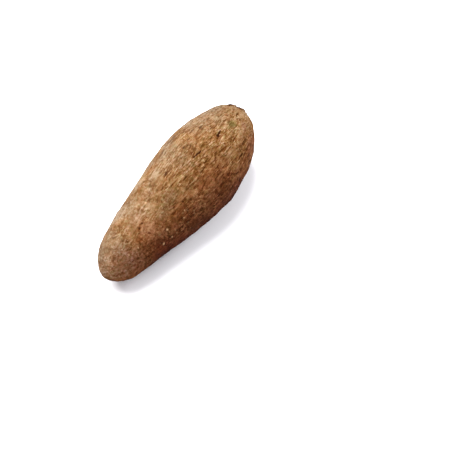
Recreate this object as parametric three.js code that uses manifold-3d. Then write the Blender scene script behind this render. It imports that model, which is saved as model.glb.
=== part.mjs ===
// A whole white yam tuber, lying on its side as lifted and brushed clean of soil.
//
// Millimetres, +Z up. +X runs along the tuber from its tail to its crown, which is the fat end that
// the vine grew from. The origin is at the middle of the tuber's box, on the surface it lies on.
// The tuber grew as one piece, so it is one solid: the body with its bark-like relief, the corky
// scar on the crown, the warts where its feeder roots broke off and a few drying cracks.

import * as THREE from 'three';
import { ImprovedNoise } from 'three/addons/math/ImprovedNoise.js';
import { mergeVertices } from 'three/addons/utils/BufferGeometryUtils.js';
import Module from 'manifold-3d';

const wasm = await Module();
wasm.setup();

// ---- Driving dimensions ----

const LENGTH = 250; // tail to crown
const GIRTH = 91.4; // across the belly
const FLATNESS = 0.96; // height of a section over its width
const RESTING_CUT = 1.8; // how much of the belly is pressed flat where it lies

// Outline from tail to crown: [share of the length, share of half the girth].
const OUTLINE = [
	[ 0, 0 ], [ 0.005, 0.137 ], [ 0.028, 0.283 ], [ 0.08, 0.493 ], [ 0.168, 0.619 ], [ 0.288, 0.757 ],
	[ 0.42, 0.892 ], [ 0.56, 0.992 ], [ 0.68, 1 ], [ 0.8, 0.913 ], [ 0.9, 0.713 ], [ 0.96, 0.491 ],
	[ 0.992, 0.233 ], [ 1, 0 ],
];

// Middle of the section at six even steps from tail to crown: [sideways, height over the round belly].
const CENTRELINE = [
	[ - 0.4, 29.8 ], [ 0.5, 34.3 ], [ - 1.4, 39.3 ], [ - 2.6, 43.3 ], [ 1, 44.3 ], [ 3.4, 50.8 ],
];

// Mesh: rings from tail to crown, closer together on the crown, and points round each ring.
const RINGS = 60;
const POINTS_ROUND = 78;
const CROWN_CROWDING = 0.25;

// Broad swellings of the whole body. The start picks their places.
const SWELLING = { height: 1.4, size: 55, start: [ 3.8, 6.5, 4.8 ] };

// Bark: ridges and furrows that run from tail to crown, and knobs between them.
const BARK = { height: 2.5, width: 4.6, length: 20 };
const KNOBS = { height: 1.2, size: 5.5 };

// The corky scar on the upper side of the crown's end, where the vine broke off: a sunken middle in a
// raised, broken rim, with smooth skin round it.
const SCAR = { fromEnd: 9, up: 21, radius: 7, rimWidth: 2.8, rimHeight: 2.1, sunk: 1.9, bareRadius: 14 };

// Scars of broken feeder roots: low, flat-topped warts of various sizes, sunk well into the body.
const WARTS = { count: 44, height: 0.9, sunk: 1.8, baseRadius: 3.2, tipRadius: 1.2, sides: 6, spacing: 23 };

// Drying cracks: [distance from the tail, turn round the body in degrees, length, width, depth].
// The turn is 0 on the side that faces +Y and 90 on top.
const CRACKS = [
	[ 185, 108, 10.5, 2.6, 2.3 ], [ 149, 103, 12, 2.2, 1.9 ], [ 205, 228, 8, 2, 1.6 ],
	[ 168, 18, 9, 1.8, 1.6 ], [ 176, 322, 10, 1.8, 1.6 ],
];

// ---- Skin: where a point of the surface lies ----

const noise = new ImprovedNoise();

const outline = new THREE.CatmullRomCurve3(
	OUTLINE.map( ( [ along, radius ] ) => new THREE.Vector3( radius * GIRTH / 2, along * LENGTH, 0 ) ),
);

const finePoints = outline.getPoints( 800 );

const centreline = new THREE.CatmullRomCurve3(
	CENTRELINE.map( ( [ side, height ], i ) => {

		return new THREE.Vector3( i / ( CENTRELINE.length - 1 ) * LENGTH, side, height );

	} ),
	false,
	'catmullrom',
);

/** Moves a point of the straight, round body, which lies along X, onto the bent and flattened one. */
function ontoBody( point ) {

	const middle = centreline.getPoint( THREE.MathUtils.clamp( point.x / LENGTH, 0, 1 ) );
	return point.set( point.x, middle.y + point.y, middle.z + point.z * FLATNESS - RESTING_CUT );

}

/** A value that is 0 up to low, 1 from high, and smooth in between. */
const rise = THREE.MathUtils.smoothstep;

/** How far the skin stands out of the smooth body at a point of the straight one, in millimetres. */
function relief( { x, y, z } ) {

	const fromScar = Math.hypot( LENGTH - SCAR.fromEnd - x, y, z - SCAR.up );
	const [ u, v, w ] = SWELLING.start;
	const swelling = noise.noise( x / SWELLING.size + u, y / SWELLING.size + v, z / SWELLING.size + w );
	const ridge = noise.noise( x / BARK.length, y / BARK.width, z / BARK.width );
	const knob = noise.noise( x / KNOBS.size, y / KNOBS.size + 31.7, z / KNOBS.size );

	// Ridges are strongest towards the crown, and knobs towards the tail. Both fade on the bare ends.
	const towardsCrown = rise( x, LENGTH * 0.2, LENGTH * 0.7 );
	const bare = rise( fromScar, SCAR.bareRadius * 0.5, SCAR.bareRadius )
		* ( 0.3 + 0.7 * rise( x, 0, 12 ) ) * ( 0.1 + 0.9 * rise( Math.hypot( LENGTH - x, y, z ), 5, 24 ) );
	const bark = ridge * BARK.height * ( 0.4 + 0.6 * towardsCrown )
		+ knob * KNOBS.height * ( 0.8 - 0.4 * towardsCrown );

	const turn = Math.atan2( x - LENGTH + SCAR.fromEnd, y );
	return swelling * SWELLING.height + bark * bare + scar( turn, fromScar );

}

/** The vine's scar: its rim is broken into lobes, and its middle is sunken. */
function scar( turn, fromScar ) {

	const lobes = 0.75 + 0.25 * Math.sin( turn * 5 + 0.8 ) + 0.2 * Math.sin( turn * 3 + 2.1 );
	const rim = Math.exp( - ( ( ( fromScar - SCAR.radius ) / SCAR.rimWidth ) ** 2 ) );
	const middle = 1 - rise( fromScar, SCAR.radius * 0.2, SCAR.radius );
	return rim * lobes * SCAR.rimHeight - middle * SCAR.sunk;

}

// ---- Body ----

/** The outline's points from tail to crown, with the crown's end crowded. */
function outlinePoints() {

	const points = [];
	for ( let i = 0; i <= RINGS; i ++ ) {

		const step = i / RINGS;
		points.push( outline.getPointAt( step + CROWN_CROWDING * step * ( 1 - step ) ) );

	}

	return points.map( ( p ) => new THREE.Vector2( Math.max( p.x, 0 ), p.y ) );

}

/** The closed skin: a lathe with its seam and ends merged, bent, and moved out by its relief. */
function bodyGeometry() {

	const lathe = new THREE.LatheGeometry( outlinePoints(), POINTS_ROUND );
	lathe.deleteAttribute( 'normal' );
	lathe.deleteAttribute( 'uv' );
	const skin = mergeVertices( lathe.rotateZ( - Math.PI / 2 ), 1e-3 );
	const place = skin.getAttribute( 'position' );

	const straight = [];
	const point = new THREE.Vector3();
	for ( let i = 0; i < place.count; i ++ ) {

		straight.push( point.fromBufferAttribute( place, i ).clone() );
		place.setXYZ( i, ...ontoBody( point ) );

	}

	skin.computeVertexNormals();
	const normal = skin.getAttribute( 'normal' );
	const outward = new THREE.Vector3();
	straight.forEach( ( smooth, i ) => {

		outward.fromBufferAttribute( normal, i );
		point.fromBufferAttribute( place, i ).addScaledVector( outward, relief( smooth ) );
		place.setXYZ( i, ...point );

	} );

	skin.deleteAttribute( 'normal' );
	return skin;

}

// ---- Solids ----

/** A closed geometry as a manifold-3d solid, without the faces that collapsed at its ends. */
function solid( geometry ) {

	const bare = geometry.clone();
	bare.deleteAttribute( 'normal' );
	bare.deleteAttribute( 'uv' );
	const merged = mergeVertices( bare, 1e-3 );
	const corners = merged.index.array;
	const triangles = [];
	for ( let i = 0; i < corners.length; i += 3 ) {

		const [ a, b, c ] = corners.slice( i, i + 3 );
		if ( a !== b && b !== c && c !== a ) triangles.push( a, b, c );

	}

	return new wasm.Manifold( new wasm.Mesh( {
		numProp: 3,
		vertProperties: merged.getAttribute( 'position' ).array,
		triVerts: new Uint32Array( triangles ),
	} ) );

}

/** A manifold-3d solid as a geometry. */
function geometryOf( made ) {

	const mesh = made.getMesh();
	const geometry = new THREE.BufferGeometry();
	geometry.setAttribute( 'position', new THREE.BufferAttribute( mesh.vertProperties, 3 ) );
	geometry.setIndex( new THREE.BufferAttribute( mesh.triVerts, 1 ) );
	geometry.computeVertexNormals();
	return geometry;

}

/** The radius of the straight body at a distance from the tail. */
function radiusAt( along ) {

	const next = finePoints.findIndex( ( p ) => p.y >= along );
	const [ before, after ] = [ finePoints[ next - 1 ], finePoints[ next ] ];
	return THREE.MathUtils.mapLinear( along, before.y, after.y, before.x, after.x );

}

/** The point of the straight body at a distance from the tail and a turn. */
function onStraight( along, turn ) {

	const radius = radiusAt( along );
	return new THREE.Vector3( along, Math.cos( turn ) * radius, Math.sin( turn ) * radius );

}

/** A frame on the skin, at a distance from the tail and a turn: X towards the crown and Z outwards. */
function onSkin( along, turn ) {

	const smooth = onStraight( along, turn );
	const spot = ontoBody( smooth.clone() );
	const ahead = ontoBody( onStraight( along + 1, turn ) ).sub( spot ).normalize();
	const round = ontoBody( onStraight( along, turn + 0.01 ) ).sub( spot );
	const outward = new THREE.Vector3().crossVectors( round, ahead ).normalize();
	const side = new THREE.Vector3().crossVectors( outward, ahead );
	spot.addScaledVector( outward, relief( smooth ) );
	return new THREE.Matrix4().makeBasis( ahead, side, outward ).setPosition( spot );

}

/** Seeded random numbers from 0 to 1. */
function seeded( seed ) {

	return () => {

		seed = Math.imul( seed ^ ( seed >>> 15 ), 0x2c1b3c6d ) + 0x6d2b79f5 | 0;
		return ( ( seed ^ ( seed >>> 14 ) ) >>> 0 ) / 4294967296;

	};

}

/** Warts where feeder roots broke off, scattered with even gaps, clear of the ends and the surface. */
function wartSolids() {

	const random = seeded( 20 );
	const placed = [];
	const { tipRadius, baseRadius, height, sunk, sides } = WARTS;
	const wart = new THREE.CylinderGeometry( tipRadius, baseRadius, height + sunk, sides );
	wart.rotateX( Math.PI / 2 ).translate( 0, 0, ( height - sunk ) / 2 );
	const solids = [];
	while ( placed.length < WARTS.count ) {

		const place = onSkin( LENGTH * ( 0.05 + 0.88 * random() ), 2 * Math.PI * random() );
		const spot = new THREE.Vector3().setFromMatrixPosition( place );
		const crowded = placed.some( ( other ) => other.distanceTo( spot ) < WARTS.spacing );
		if ( crowded || spot.z < WARTS.baseRadius * 3 ) continue;

		const size = 0.75 + 0.5 * random();
		const own = wart.clone().scale( size * ( 1 + 0.4 * random() ), size, 0.8 + 0.4 * random() );
		own.rotateX( 0.4 * ( random() - 0.5 ) ).rotateY( 0.4 * ( random() - 0.5 ) ).rotateZ( 6 * random() );
		placed.push( spot );
		solids.push( solid( own.applyMatrix4( place ) ) );

	}

	return solids;

}

/** Drying cracks: narrow lens-shaped slits that run towards the crown. */
function crackSolids() {

	return CRACKS.map( ( [ along, degrees, length, width, depth ] ) => {

		const slit = new THREE.OctahedronGeometry( 1 ).scale( length / 2, width / 2, depth );
		return solid( slit.applyMatrix4( onSkin( along, THREE.MathUtils.degToRad( degrees ) ) ) );

	} );

}

/** Everything below the surface that the tuber lies on. */
function ground() {

	const box = new THREE.BoxGeometry( LENGTH * 2, GIRTH * 2, GIRTH );
	return solid( box.translate( LENGTH / 2, 0, - GIRTH / 2 ) );

}

// ---- The tuber ----

let body = solid( bodyGeometry() );
for ( const wart of wartSolids() ) body = body.add( wart );
for ( const crack of crackSolids() ) body = body.subtract( crack );
body = body.subtract( ground() );

const geometry = geometryOf( body );
geometry.computeBoundingBox();
const middle = geometry.boundingBox.getCenter( new THREE.Vector3() );

const skin = new THREE.MeshStandardMaterial( { color: 0x9a7146, roughness: 0.9, metalness: 0 } );
const tuber = new THREE.Mesh( geometry, skin );
tuber.name = 'tuber';
tuber.position.set( - middle.x, - middle.y, 0 );

const yam = new THREE.Group();
yam.add( tuber );

export default yam;
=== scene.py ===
import math

import bmesh
import bpy
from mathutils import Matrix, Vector, noise


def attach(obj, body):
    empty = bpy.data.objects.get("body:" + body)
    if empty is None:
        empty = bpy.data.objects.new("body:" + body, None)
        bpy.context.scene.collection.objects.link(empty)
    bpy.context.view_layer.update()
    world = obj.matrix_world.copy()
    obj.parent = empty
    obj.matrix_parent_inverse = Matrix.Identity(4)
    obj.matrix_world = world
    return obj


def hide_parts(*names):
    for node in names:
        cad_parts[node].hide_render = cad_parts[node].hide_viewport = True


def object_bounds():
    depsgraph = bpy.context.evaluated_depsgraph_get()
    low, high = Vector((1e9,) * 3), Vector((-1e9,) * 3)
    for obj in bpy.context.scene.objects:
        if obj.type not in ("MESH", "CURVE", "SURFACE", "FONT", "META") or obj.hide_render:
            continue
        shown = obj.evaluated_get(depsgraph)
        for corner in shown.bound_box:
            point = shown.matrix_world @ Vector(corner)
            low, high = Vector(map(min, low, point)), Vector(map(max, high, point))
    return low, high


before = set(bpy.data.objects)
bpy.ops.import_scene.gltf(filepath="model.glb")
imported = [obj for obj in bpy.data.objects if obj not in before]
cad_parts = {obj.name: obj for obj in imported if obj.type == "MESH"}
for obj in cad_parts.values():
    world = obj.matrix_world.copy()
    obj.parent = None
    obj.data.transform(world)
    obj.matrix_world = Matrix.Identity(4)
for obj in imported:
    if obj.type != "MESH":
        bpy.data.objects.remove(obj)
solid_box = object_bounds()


# ---- Tuber ------------------------------------------------------------------------------------
# A whole white yam, one grown body of starchy flesh in a dry, corky skin. The skin split into
# fine flakes that run from tail to crown as the fat end swelled, and stays pimpled on the tail.

MM = 0.001
TAIL_X, CROWN_X = (corner[0] for corner in solid_box)
LENGTH = CROWN_X - TAIL_X
PITH_AT_TAIL = Vector((0, 0, 0.028))
PITH_AT_CROWN = Vector((0, 0.003, 0.048))
VOXEL = 0.92 * MM
SOLID_SMOOTHINGS = 2
SKIN_SMOOTHINGS = 5
GRAIN_SEED = 5  # any whole number but 0, which would give another grain each time
GRAIN_RADIUS = 40.0
LIT_TURN = math.radians(62)  # the turn round the body of its palest line, which faces the soft box; the painted shade is measured from it
SHEEN_TURN = math.radians(26)  # and of the line along which a pale film is painted in for sheen

# Heights and depths of the skin's relief, in millimetres.
PLUMPING = 0.45  # makes up for what the smoothing takes off
FLAKE_HEIGHT, FURROW_DEPTH, GASH_DEPTH = 0.26, 0.62, 0.5
PIMPLE_HEIGHT, GRIT_HEIGHT, LUMP_HEIGHT = 0.42, 0.22, 0.22
CRACK_DEPTH, PIT_DEPTH = 1.2, 0.9
SHRED_HEIGHT, ROOT_SCAR_HEIGHT = 1.1, 0.4

# Stretches in millimetres from the tail, in each of which something comes in or fades out.
BARK_COMES = (37.5, 155)
BARK_CALMS = (222, 244)
TAIL_CLEARS = (35, 85)
PAINTED_SHADE_COMES = (-5, 60)
CROWN_END = (205, 240)

# Marks on the skin, each by its distance from the tail, its turn round the body in degrees (90 on
# top), its length along the body and its width, in millimetres, and then its strength.
CRACKS = (
    (189.5, 104.7, 5.0, 1.8, 1.0),
    (186.3, 105.7, 5.0, 3.0, 1.0),
    (182.8, 106.9, 5.0, 4.2, 1.0),
    (151.5, 103.8, 7.0, 2.0, 1.0),
    (147.5, 102.8, 6.0, 2.3, 1.0),
    (143.5, 102.4, 5.0, 1.8, 0.9),
    (205, 228, 8.0, 2.0, 1.0),
    (168, 18, 9.0, 1.8, 1.0),
    (176, 322, 10.0, 1.8, 1.0),
)
PITS = (
    (56, 103, 2.8, 2.4, 0.9),
    (50, 105, 3.0, 2.6, 0.9),
    (86, 105, 2.4, 2.2, 0.7),
    (82, 101, 2.2, 2.0, 0.6),
    (100, 131, 2.6, 2.2, 0.8),
    (87, 151, 2.4, 2.2, 0.7),
    (49, 142, 2.4, 2.2, 0.6),
    (228, 104, 9.0, 2.6, 1.1),
    (206, 115, 4.0, 2.0, 0.5),
    (209, 104, 5.0, 2.0, 0.5),
    (187, 152, 14.0, 1.9, 0.6),
    (191, 145, 11.0, 1.9, 0.5),
    (178, 149, 10.0, 1.9, 0.5),
    (120, 262, 4.0, 3.0, 0.7),
    (74, 315, 3.0, 3.0, 0.7),
    (150, 40, 3.6, 2.8, 0.6),
)
STEM_SHREDS = (
    (236, 70, 6.0, 6.0, 1.4),
    (240, 84, 5.0, 4.6, 1.1),
    (238, 99, 4.4, 4.0, 1.0),
    (243, 72, 3.0, 4.0, 0.7),
    (246, 104, 3.4, 4.0, 0.8),
    (241, 119, 3.4, 3.0, 0.7),
    (248, 140, 3.0, 3.0, 0.6),
    (242, 52, 3.4, 3.0, 0.6),
    (242, 90, 15.0, 17.0, 0.62),
)
ROOT_SCARS = (
    (75, 86, 3.0, 2.8, 0.9),
    (70, 145, 3.0, 3.0, 1.0),
    (60, 163, 3.0, 3.0, 1.0),
    (36, 129, 2.2, 2.2, 0.8),
    (25, 125, 2.2, 2.2, 0.7),
    (17, 78, 2.4, 2.2, 0.7),
    (44, 86, 2.2, 2.0, 0.8),
    (98, 83, 2.2, 2.0, 0.7),
    (103, 100, 2.2, 2.0, 0.8),
    (96, 142, 2.0, 2.0, 0.8),
    (91, 150, 2.0, 2.0, 0.7),
    (71, 163, 2.2, 2.0, 0.9),
    (129, 108, 2.4, 2.4, 0.9),
    (143, 118, 2.2, 2.2, 0.8),
    (88, 20, 2.4, 2.4, 0.9),
    (134, 340, 2.4, 2.2, 0.8),
    (54, 250, 2.2, 2.2, 0.9),
    (160, 215, 2.4, 2.4, 0.8),
)
DUSTY = (
    (62, 92, 34, 22, 1.0),
    (27, 66, 56, 32, 0.8),
    (56, 117, 24, 22, 1.0),
    (112, 70, 36, 22, 0.4),
    (226, 127, 22, 22, 0.9),
    (212, 88, 56, 46, 0.4),
    (216, 128, 24, 14, 0.5),
    (236, 116, 18, 17, 0.9),
    (212, 164, 30, 12, 0.35),
    (150, 182, 34, 14, 0.7),
    (110, 285, 40, 24, 0.6),
    (190, 350, 44, 26, 0.5),
)
# Darker, greyer patches. The first three, along the upper far rim at the crown and at the tail, are
# painted shade.
DARKER_PATCHES = (
    (235, 48, 72, 70, 1.1),
    (198, 24, 50, 26, 0.9),
    (12, 22, 50, 24, 0.7),
    (104, 178, 32, 20, 1.3),
    (31, 168, 22, 16, 0.8),
    (202, 93, 26, 24, 0.7),
    (208, 110, 18, 15, 0.9),
    (190, 73, 24, 20, 0.6),
    (24, 101, 26, 22, 0.8),
    (29, 142, 26, 20, 1.1),
    (80, 121, 26, 20, 0.8),
    (93, 112, 26, 22, 1.1),
    (134, 99, 30, 26, 0.8),
    (124, 117, 44, 24, 0.3),
)
MOSSY = (
    (209, 111, 16, 13, 0.9),
    (178, 148, 34, 22, 0.2),
    (140, 62, 30, 20, 0.15),
    (120, 240, 36, 22, 0.3),
)
ROSY = (
    (16, 140, 50, 60, 0.8),
    (60, 86, 26, 18, 0.4),
    (160, 178, 44, 20, 0.7),
    (214, 162, 36, 22, 0.8),
    (218, 131, 16, 12, 0.6),
    (96, 300, 50, 30, 0.6),
    (190, 20, 40, 24, 0.5),
)
# Patches where the skin is painted lighter.
LIGHTER_PATCHES = (
    (56, 119, 22, 20, 2.2),
    (110, 70, 34, 24, 1.2),
    (178, 61, 22, 15, 0.9),
    (133, 64, 24, 16, 1.2),
    (80, 152, 22, 16, 1.0),
    (49, 62, 30, 20, 1.0),
    (132, 150, 26, 20, 1.6),
    (56, 171, 22, 16, 1.3),
    (58, 139, 24, 19, 2.2),
    (52, 92, 22, 18, 1.1),
    (2, 113, 20, 20, 1.4),
    (176, 138, 24, 20, 1.8),
    (181, 118, 22, 18, 1.8),
    (160, 126, 22, 20, 0.9),
    (141, 168, 26, 16, 1.2),
    (199, 134, 50, 44, 1.2),
    (150, 262, 70, 46, 0.6),
    (96, 20, 40, 26, 0.5),
)


noise.seed_set(GRAIN_SEED)


def rise(low, high, value):
    """0 up to low, 1 from high, and smooth in between."""
    share = min(max((value - low) / (high - low), 0.0), 1.0)
    return share * share * (3 - 2 * share)


def body_place(point):
    """A point's distance from the tail, its turn and its distance from the pith, in millimetres."""
    along = (point.x - TAIL_X) / LENGTH
    pith = PITH_AT_TAIL.lerp(PITH_AT_CROWN, along)
    across, height = point.y - pith.y, point.z - pith.z
    return (point.x - TAIL_X) / MM, math.atan2(height, across), math.hypot(across, height) / MM


def grain_place(along, turn, radius):
    """The skin unrolled onto a round bar, so that a pattern stretched along it follows the tuber."""
    reach = GRAIN_RADIUS * math.sin(math.pi / 2 * min(1.0, radius / GRAIN_RADIUS))
    return Vector((reach * math.cos(turn), reach * math.sin(turn), along))


def furrows(grain, width, length, sharpness):
    """Wavy furrows along the grain: 1 at the bottom of one."""
    spot = Vector((grain.x / width, grain.y / width, grain.z / length))
    spot += 0.35 * noise.noise_vector(spot * 0.6)
    return 1 - rise(0.0, sharpness, abs(noise.noise(spot)))


def flakes(grain, width=2.6, length=11.0):
    """Long corky flakes that overlap like shingles: a flake's height and its own tone."""
    spot = Vector((grain.x / width, grain.y / width, grain.z / length))
    spot += 0.6 * noise.noise_vector(spot * 0.9)
    centre = noise.voronoi(spot)[1][0]
    own = noise.cell(centre * 7.31)
    return 0.6 * own + (spot.z - centre.z) * 0.7, own


def gashes(grain, width=3.2, length=12.0):
    """Short gashes where a flake has torn away: 1 in the middle of one."""
    spot = Vector((grain.x / width, grain.y / width, grain.z / length))
    spot += 0.3 * noise.noise_vector(spot * 0.6)
    distances, centres = noise.voronoi(spot)
    size = 0.1 + 0.18 * abs(noise.cell(centres[0] * 3.7))
    return 1 - rise(size * 0.4, size * 1.3, distances[0])


def in_marks(marks, place, inner, outer):
    """How deep a skin point is in any of the marks: their strength inside, 0 outside."""
    along, turn, radius = place
    most = 0.0
    for distance, degrees, length, width, strength in marks:
        if abs(along - distance) > length * outer:
            continue
        off = (turn - math.radians(degrees) + math.pi) % math.tau - math.pi
        reach = math.hypot((along - distance) / (length / 2), off * radius / (width / 2))
        most = max(most, strength * (1 - rise(inner, outer, reach)))
    return most


def skin_at(point):
    """A skin point's height in millimetres, its place along the grain and its painted layers."""
    place = along, turn, radius = body_place(point)
    grain = grain_place(*place)
    spot = point / MM

    # What grows there: bark towards the crown and pimples towards the tail.
    bark = rise(*BARK_COMES, along + 15 * noise.noise(spot / 14))
    flake, flake_tone = flakes(grain)
    patchy = noise.noise(spot / 7 + Vector((5, 2, 8)))
    fine_furrow = furrows(grain, 2.4, 16.0, 0.2) * rise(-0.35, 0.1, patchy)
    wide_furrow = furrows(grain, 4.4, 20.0, 0.16) * rise(-0.1, 0.25, -patchy)
    furrow = max(fine_furrow, 0.8 * wide_furrow)
    gash = gashes(grain)
    crack = in_marks(CRACKS, place, 0.4, 1.3)
    pit = in_marks(PITS, place, 0.3, 1.2)
    torn = 0.6 * noise.noise(spot / 1.8) - 0.05
    shred = rise(0.35, 0.75, in_marks(STEM_SHREDS, place, 0.0, 1.5) + torn)
    root_scar = in_marks(ROOT_SCARS, place, 0.3, 1.2)
    strength = 0.8 + 0.4 * noise.noise(spot / 20)
    streaky = strength * (0.35 + 0.65 * bark) * (1 - 0.5 * rise(*BARK_CALMS, along))

    relief = streaky * (FLAKE_HEIGHT * flake - FURROW_DEPTH * furrow - GASH_DEPTH * gash)
    relief += (1 - bark) * PIMPLE_HEIGHT * noise.noise(spot / 2.1)
    relief += GRIT_HEIGHT * noise.noise(spot / 1.4) + LUMP_HEIGHT * noise.noise(spot / 9)
    relief -= CRACK_DEPTH * crack + PIT_DEPTH * pit
    height = relief + PLUMPING + SHRED_HEIGHT * shred + ROOT_SCAR_HEIGHT * root_scar

    # Painted shade and painted sheen, by the turn round the body. The further the skin turns from the
    # lit line, the redder and darker it is painted as shade. It is darkest low on the body, stronger
    # from 10 to 80 mm from the tail, and weaker towards the crown. The upper far side gets a pale grey
    # film painted in for the sheen along that rim.
    turn_from_light = abs((turn - LIT_TURN + math.pi) % math.tau - math.pi) + 0.2 * noise.noise(spot / 24)
    end = 1 - rise(*CROWN_END, along) * (1 - rise(10, 36, radius))
    bottom_shade = 0.8 * rise(1.95, 2.6, turn_from_light) * end
    turn_from_light += 0.42 * rise(10, 45, along) * (1 - rise(52, 80, along)) - 0.55 * rise(150, 205, along)
    # Painted sheen: a pale grey film along the upper far side, strongest where the skin faces its
    # line.
    facing = math.cos(turn - SHEEN_TURN)
    painted_sheen = 0.5 * rise(0.15, 0.8, facing) + 0.5 * rise(0.72, 1.0, facing) * rise(-10, 25, along)
    painted_sheen *= rise(-0.6, 0.2, noise.noise(spot / 18)) * (0.35 + 0.65 * rise(-0.45, 0.4, turn))
    tail = 1 - rise(*TAIL_CLEARS, along)
    return height, grain, {
        "relief": relief,
        "tone": flake_tone - 0.8 * tail + 2.0 * in_marks(LIGHTER_PATCHES, place, 0.1, 1.2),
        # The dark layer holds the furrows, gashes, pits and shreds, and the painted shade along the
        # bottom.
        "dark": max(streaky * max(0.85 * furrow, 0.75 * gash), pit, 1.3 * shred, bottom_shade),
        "dusty": in_marks(DUSTY, place, 0.2, 1.2) * (0.6 + 0.8 * noise.noise(spot / 5)),
        "mossy": in_marks(MOSSY, place, 0.2, 1.2),
        "rosy": in_marks(ROSY, place, 0.1, 1.2),
        "darker_patches": in_marks(DARKER_PATCHES, place, 0.2, 1.2),
        "bark": bark,
        "painted_shade": rise(0.5, 2.45, turn_from_light) * rise(*PAINTED_SHADE_COMES, along) * end,
        "painted_sheen": painted_sheen,
        "split": max(crack, 0.8 * shred, 0.55 * pit),
        "root_scar": root_scar,
    }


def smooth(shape, rounds, factor):
    """Evens out a bmesh's points."""
    axes = {"use_axis_x": True, "use_axis_y": True, "use_axis_z": True}
    for _ in range(rounds):
        bmesh.ops.smooth_vert(shape, verts=shape.verts, factor=factor, **axes)


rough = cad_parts["tuber"].data.copy()
shape = bmesh.new()
shape.from_mesh(rough)
bmesh.ops.remove_doubles(shape, verts=shape.verts, dist=0.01 * MM)
smooth(shape, SOLID_SMOOTHINGS, 0.4)
shape.to_mesh(rough)
shape.free()

draft = bpy.data.objects.new("draft", rough)
bpy.context.collection.objects.link(draft)
rounding = draft.modifiers.new("Rounding", "SUBSURF")
rounding.levels = rounding.render_levels = 1
even = draft.modifiers.new("Even skin", "REMESH")
even.mode = "VOXEL"
even.voxel_size = VOXEL
depsgraph = bpy.context.evaluated_depsgraph_get()
skin_mesh = bpy.data.meshes.new_from_object(draft.evaluated_get(depsgraph))
bpy.data.objects.remove(draft)

skin = bmesh.new()
skin.from_mesh(skin_mesh)
smooth(skin, SKIN_SMOOTHINGS, 0.5)
skin.normal_update()
looks = [skin_at(vert.co) for vert in skin.verts]
layers = {name: skin.verts.layers.float.new(name) for name in looks[0][2]}
grain_layer = skin.verts.layers.float_vector.new("grain")
low, high = solid_box
for vert, (height, grain, values) in zip(skin.verts, looks):
    vert[grain_layer] = grain
    for name, layer in layers.items():
        vert[layer] = values[name]
    grown = vert.co + vert.normal * (height * MM)
    vert.co = Vector(min(max(c, a), b) for c, a, b in zip(grown, low, high))
skin.to_mesh(skin_mesh)
skin.free()
for face in skin_mesh.polygons:
    face.use_smooth = True

tuber = bpy.data.objects.new("tuber_skin", skin_mesh)
bpy.context.collection.objects.link(tuber)

# Linear colours of the skin, from the bottom of a furrow to the top of a flake.
SKIN_SHADES = (
    (0.0, (0.038, 0.010, 0.001, 1)),
    (0.28, (0.082, 0.030, 0.005, 1)),
    (0.5, (0.150, 0.073, 0.026, 1)),
    (0.72, (0.224, 0.134, 0.066, 1)),
    (1.0, (0.345, 0.244, 0.145, 1)),
)
USUAL_SHADE = 0.58
SPLIT_BROWN = (0.024, 0.006, 0.001, 1)
DUST = (0.320, 0.225, 0.140, 1)
# A pale grey film painted in for the sheen along the upper far rim.
SHEEN_GREY = (0.248, 0.202, 0.146, 1)
WART_TAN_AND_HIGHLIGHT = (0.370, 0.225, 0.120, 1)

# Tints that a colour is multiplied by.
RUSSET = (1.0, 0.85, 0.75, 1)
MOSS_GREEN = (0.52, 0.69, 0.33, 1)
ROSE = (1.0, 0.92, 1.3, 1)
# A grey that darkens the darker patches, which are painted shade at the rim ends.
DARKENING_GREY = (0.75, 0.75, 0.76, 1)
# The next two tints are painted shade: redder, then darker, on the skin turned from the light.
SHADE_RED = (1.0, 0.80, 0.68, 1)
BELLY_SHADE = (0.26, 0.13, 0.10, 1)

bark = bpy.data.materials.new("corky bark")
bark.use_nodes = True
nodes, links = bark.node_tree.nodes, bark.node_tree.links
shader = nodes["Principled BSDF"]
shader.inputs["Roughness"].default_value = 0.8
shader.inputs["Specular IOR Level"].default_value = 0.02


def feed(socket, value):
    """Links a socket to another node's output, or sets it to a number, a colour or a vector."""
    if isinstance(value, bpy.types.NodeSocket):
        links.new(value, socket)
    else:
        socket.default_value = value


def node_of(kind, settings=(), **inputs):
    """A new node of the bark, with its inputs fed by name."""
    made = nodes.new(kind)
    for name, value in dict(settings).items():
        setattr(made, name, value)
    for name, value in inputs.items():
        feed(made.inputs[name.replace("_", " ")], value)
    return made


def attribute(name, output="Fac"):
    """One of the skin's painted layers."""
    return node_of("ShaderNodeAttribute", {"attribute_name": name}).outputs[output]


def stretched(vector, *sizes):
    """A vector divided by a pattern's size, or by its sizes along x, y and z."""
    scale = [1 / size for size in sizes] * (3 // len(sizes))
    return node_of("ShaderNodeMapping", Vector=vector, Scale=scale).outputs["Vector"]


def cloud(vector, detail=2.0, roughness=0.5, output="Fac"):
    """Soft noise, mostly from 0.3 to 0.7."""
    made = node_of("ShaderNodeTexNoise", Vector=vector, Scale=1.0, Detail=detail, Roughness=roughness)
    return made.outputs[output]


def axis_of(vector, axis):
    """One axis of a vector or colour."""
    return node_of("ShaderNodeSeparateXYZ", Vector=vector).outputs[axis]


def between(value, low, high, start=0.0, end=1.0):
    """A value taken from low..high to start..end, smoothly, and held there."""
    made = node_of("ShaderNodeMapRange", {"interpolation_type": "SMOOTHSTEP"}, Value=value)
    for name, number in (("From Min", low), ("From Max", high), ("To Min", start), ("To Max", end)):
        made.inputs[name].default_value = number
    return made.outputs["Result"]


def maths(kind, first, second=0.0):
    """One step of arithmetic on two values, or on the first alone for a kind that takes one."""
    made = nodes.new("ShaderNodeMath")
    made.operation = kind
    feed(made.inputs[0], first)
    feed(made.inputs[1], second)
    return made.outputs["Value"]


def times(first, second):
    """The product of two values."""
    return maths("MULTIPLY", first, second)


def centred(value):
    """A soft noise moved to swing about 0."""
    return maths("SUBTRACT", value, 0.5)


def summed(start, *parts):
    """start plus each value times its share."""
    total = start
    for value, share in parts:
        total = maths("ADD", times(value, share), total)
    return total


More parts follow.
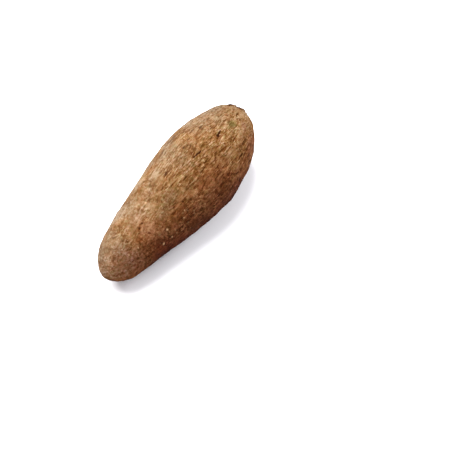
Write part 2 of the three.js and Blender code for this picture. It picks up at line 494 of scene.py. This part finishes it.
def blend(share, first, second, way="MIX"):
    """Goes from a first colour towards a second one by a share."""
    made = nodes.new("ShaderNodeMix")
    made.data_type = "RGBA"
    made.blend_type = way
    for number, value in ((0, share), (6, first), (7, second)):
        feed(made.inputs[number], value)
    return made.outputs[2]


def tinted(share, colour, tint):
    """Goes from a colour towards its product with a tint by a share."""
    return blend(share, colour, blend(1.0, colour, tint, "MULTIPLY"))


def shades(value, steps):
    """A colour read off a ladder of (place, colour) steps."""
    made = node_of("ShaderNodeValToRGB", Fac=value)
    ladder = made.color_ramp.elements
    (ladder[0].position, ladder[0].color), (ladder[1].position, ladder[1].color) = steps[0], steps[-1]
    for place, colour in steps[1:-1]:
        ladder.new(place).color = colour
    return made.outputs["Color"]


# Patterns along the grain, sized in millimetres: fibres, chips of cork that rise from one end to
# the other, and creases between them.
grain = attribute("grain", "Vector")
barky = attribute("bark")
fibre = cloud(stretched(grain, 0.9, 0.9, 5.5), detail=3.0, roughness=0.6)
bend = cloud(stretched(grain, 5.0, 5.0, 10.0), detail=1.0, output="Color")
bent = node_of("ShaderNodeVectorMath", {"operation": "ADD"}, Vector=bend)
feed(bent.inputs[1], stretched(grain, 1.7, 1.7, 9.5))
bent = bent.outputs["Vector"]
chips = node_of("ShaderNodeTexVoronoi", Vector=bent, Scale=1.0)
chip_tone = axis_of(chips.outputs["Color"], "X")
chip_rise = maths("SUBTRACT", axis_of(bent, "Z"), axis_of(chips.outputs["Position"], "Z"))
chipped = times(summed(-0.5, (chip_tone, 1.0), (chip_rise, 1.0)), between(barky, 0.0, 1.0, 0.06, 0.14))
streaks = times(centred(fibre), between(barky, 0.0, 1.0, 0.8, 1.5))
crease = maths("ABSOLUTE", centred(cloud(stretched(grain, 2.1, 2.1, 15.0), detail=1.0)))
broken = between(cloud(stretched(grain, 2.2, 2.2, 5.0)), 0.44, 0.56)
crease = times(times(between(crease, 0.05, 0.0), broken), between(barky, 0.0, 1.0, 0.3, 1.0))

# Patterns without a grain, from the finest to the broadest.
place = node_of("ShaderNodeTexCoord").outputs["Object"]
grit = cloud(stretched(place, 1.1 * MM), detail=2.0, roughness=0.65)
speckle = cloud(stretched(place, 2.6 * MM), detail=2.0, roughness=0.6)
hue = cloud(stretched(place, 3.2 * MM))
blush = cloud(stretched(place, 5.0 * MM, 4.6 * MM, 5.3 * MM))
blotch = cloud(stretched(place, 8.0 * MM))
calm = cloud(stretched(place, 14 * MM, 13 * MM, 15 * MM), detail=1.0)
patch = cloud(stretched(place, 16 * MM), detail=3.0, roughness=0.55)
stain = cloud(stretched(place, 31 * MM, 26 * MM, 28 * MM))
warts = node_of("ShaderNodeTexVoronoi", Vector=stretched(place, 5.2 * MM), Scale=1.0)
wart_size = times(axis_of(warts.outputs["Color"], "X"), 0.28)
wart = between(maths("SUBTRACT", wart_size, warts.outputs["Distance"]), -0.02, 0.10)
specks = times(summed(-0.65, (grit, 0.6), (speckle, 0.7)), between(barky, 0.0, 1.0, 1.3, 0.85))
specks = times(specks, between(attribute("painted_shade"), 0.2, 0.9, 1.0, 2.0))

# How light the skin is, then its colour, then what lies on it, with the painted sheen and the painted
# shade among these layers.
fine = summed(
    0.0, (attribute("relief"), 0.2), (streaks, 1.0), (chipped, 1.0), (crease, -0.24), (specks, 1.0))
value = summed(
    USUAL_SHADE,
    (times(fine, between(calm, 0.38, 0.6, 0.55, 1.1)), 1.0),
    (attribute("tone"), 0.05),
    (attribute("dark"), -0.31),
    (times(centred(blotch), between(barky, 0.0, 1.0, 1.7, 1.0)), 0.32),
    (centred(stain), 0.6),
)
colour = shades(value, SKIN_SHADES)
red = maths("ADD", between(patch, 0.42, 0.68, 0.0, 0.6), between(hue, 0.48, 0.60, 0.0, 0.28))
colour = tinted(red, colour, RUSSET)
green = maths("ADD", attribute("mossy"), between(hue, 0.50, 0.38, 0.0, 0.4))
colour = tinted(green, colour, MOSS_GREEN)
rosy = maths("ADD", attribute("rosy"), between(blush, 0.52, 0.64, 0.0, 0.35))
colour = tinted(rosy, colour, ROSE)
colour = blend(times(attribute("dusty"), between(value, 0.45, 0.85, 0.1, 0.8)), colour, DUST)
# Painted sheen: a pale grey film on the upper far side, stronger on the lighter skin.
colour = blend(times(attribute("painted_sheen"), between(value, 0.4, 0.75, 0.2, 0.75)), colour, SHEEN_GREY)
# Darker, greyer patches, painted shade along the upper far rim at the crown and tail.
colour = tinted(attribute("darker_patches"), colour, DARKENING_GREY)
colour = blend(between(attribute("split"), 0.2, 0.8), colour, SPLIT_BROWN)
# Painted shade: redder, then darker, the further the skin turns from the light.
colour = tinted(between(attribute("painted_shade"), 0.05, 0.4), colour, SHADE_RED)
colour = tinted(attribute("painted_shade"), colour, BELLY_SHADE)
# Warts and root scars, laid on after the painted shade in a pale tan. This is partly their own colour
# and partly a painted highlight where their tips catch the light.
scars_and_highlights = maths("MAXIMUM", times(wart, 0.16), times(attribute("root_scar"), 0.75))
colour = blend(scars_and_highlights, colour, WART_TAN_AND_HIGHLIGHT)
feed(shader.inputs["Base Color"], colour)
bumps = summed(0.0, (fibre, 0.8), (grit, 0.8), (chipped, 2.0), (crease, -0.8))
bump = node_of("ShaderNodeBump", Height=bumps, Distance=0.6 * MM, Strength=0.6)
feed(shader.inputs["Normal"], bump.outputs["Normal"])
skin_mesh.materials.clear()
skin_mesh.materials.append(bark)
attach(tuber, "root")
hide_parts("tuber")


# ---- Table ------------------------------------------------------------------------------------
# A wide sheet of matt white paper. It is laid flat on a table, and the tuber lies on it with
# nothing to hold it.

sheet = bmesh.new()
bmesh.ops.create_grid(sheet, x_segments=1, y_segments=1, size=4)
sheet_mesh = bpy.data.meshes.new("paper")
sheet.to_mesh(sheet_mesh)
sheet.free()
table = bpy.data.objects.new("table", sheet_mesh)
bpy.context.collection.objects.link(table)
paper = bpy.data.materials.new("white paper")
paper.use_nodes = True
paper_shader = paper.node_tree.nodes["Principled BSDF"]
paper_shader.inputs["Base Color"].default_value = (0.9, 0.9, 0.92, 1)
paper_shader.inputs["Roughness"].default_value = 0.9
sheet_mesh.materials.append(paper)


# ---- Camera -----------------------------------------------------------------------------------
# It looks down on the tuber from the side of the tail, and aims a little past it, so that the
# tuber stands left of the middle and above it.

AZIMUTH, ELEVATION = math.radians(-51), math.radians(50)
AWAY = 1.136
MIDDLE = Vector((0, 0, 0.038))
AIM_RIGHT, AIM_DOWN = 0.0487, 0.0378

level = math.cos(ELEVATION)
back = Vector((math.sin(AZIMUTH) * level, -math.cos(AZIMUTH) * level, math.sin(ELEVATION)))
right = Vector((math.cos(AZIMUTH), math.sin(AZIMUTH), 0))
up = back.cross(right)
lens = bpy.data.cameras.new("camera")
lens.lens = 85
camera = bpy.data.objects.new("camera", lens)
bpy.context.collection.objects.link(camera)
camera.location = MIDDLE + back * AWAY
aim = MIDDLE + right * AIM_RIGHT - up * AIM_DOWN
camera.rotation_euler = (aim - camera.location).to_track_quat("-Z", "Y").to_euler()
bpy.context.scene.camera = camera


# ---- Light ------------------------------------------------------------------------------------
# Soft studio light: a bright white room, one large soft box up and behind, and a weak one beyond
# the crown.

world = bpy.data.worlds.new("studio")
bpy.context.scene.world = world
world.use_nodes = True
room = world.node_tree.nodes["Background"]
room.inputs["Color"].default_value = (0.97, 0.95, 1, 1)
room.inputs["Strength"].default_value = 0.7


def soft_box(name, place, size, energy):
    """A round soft box that shines on the tuber."""
    soft = bpy.data.lights.new(name, "AREA")
    soft.shape = "DISK"
    soft.size = size
    soft.energy = energy
    box = bpy.data.objects.new(name, soft)
    bpy.context.collection.objects.link(box)
    box.location = MIDDLE + Vector(place)
    box.rotation_euler = (MIDDLE - box.location).to_track_quat("-Z", "Y").to_euler()


soft_box("soft box", (0, 0.65, 1.35), 1.6, 69)
soft_box("crown light", (1.3, -0.8, 0.7), 0.8, 27)
bpy.context.scene.view_settings.view_transform = "Standard"
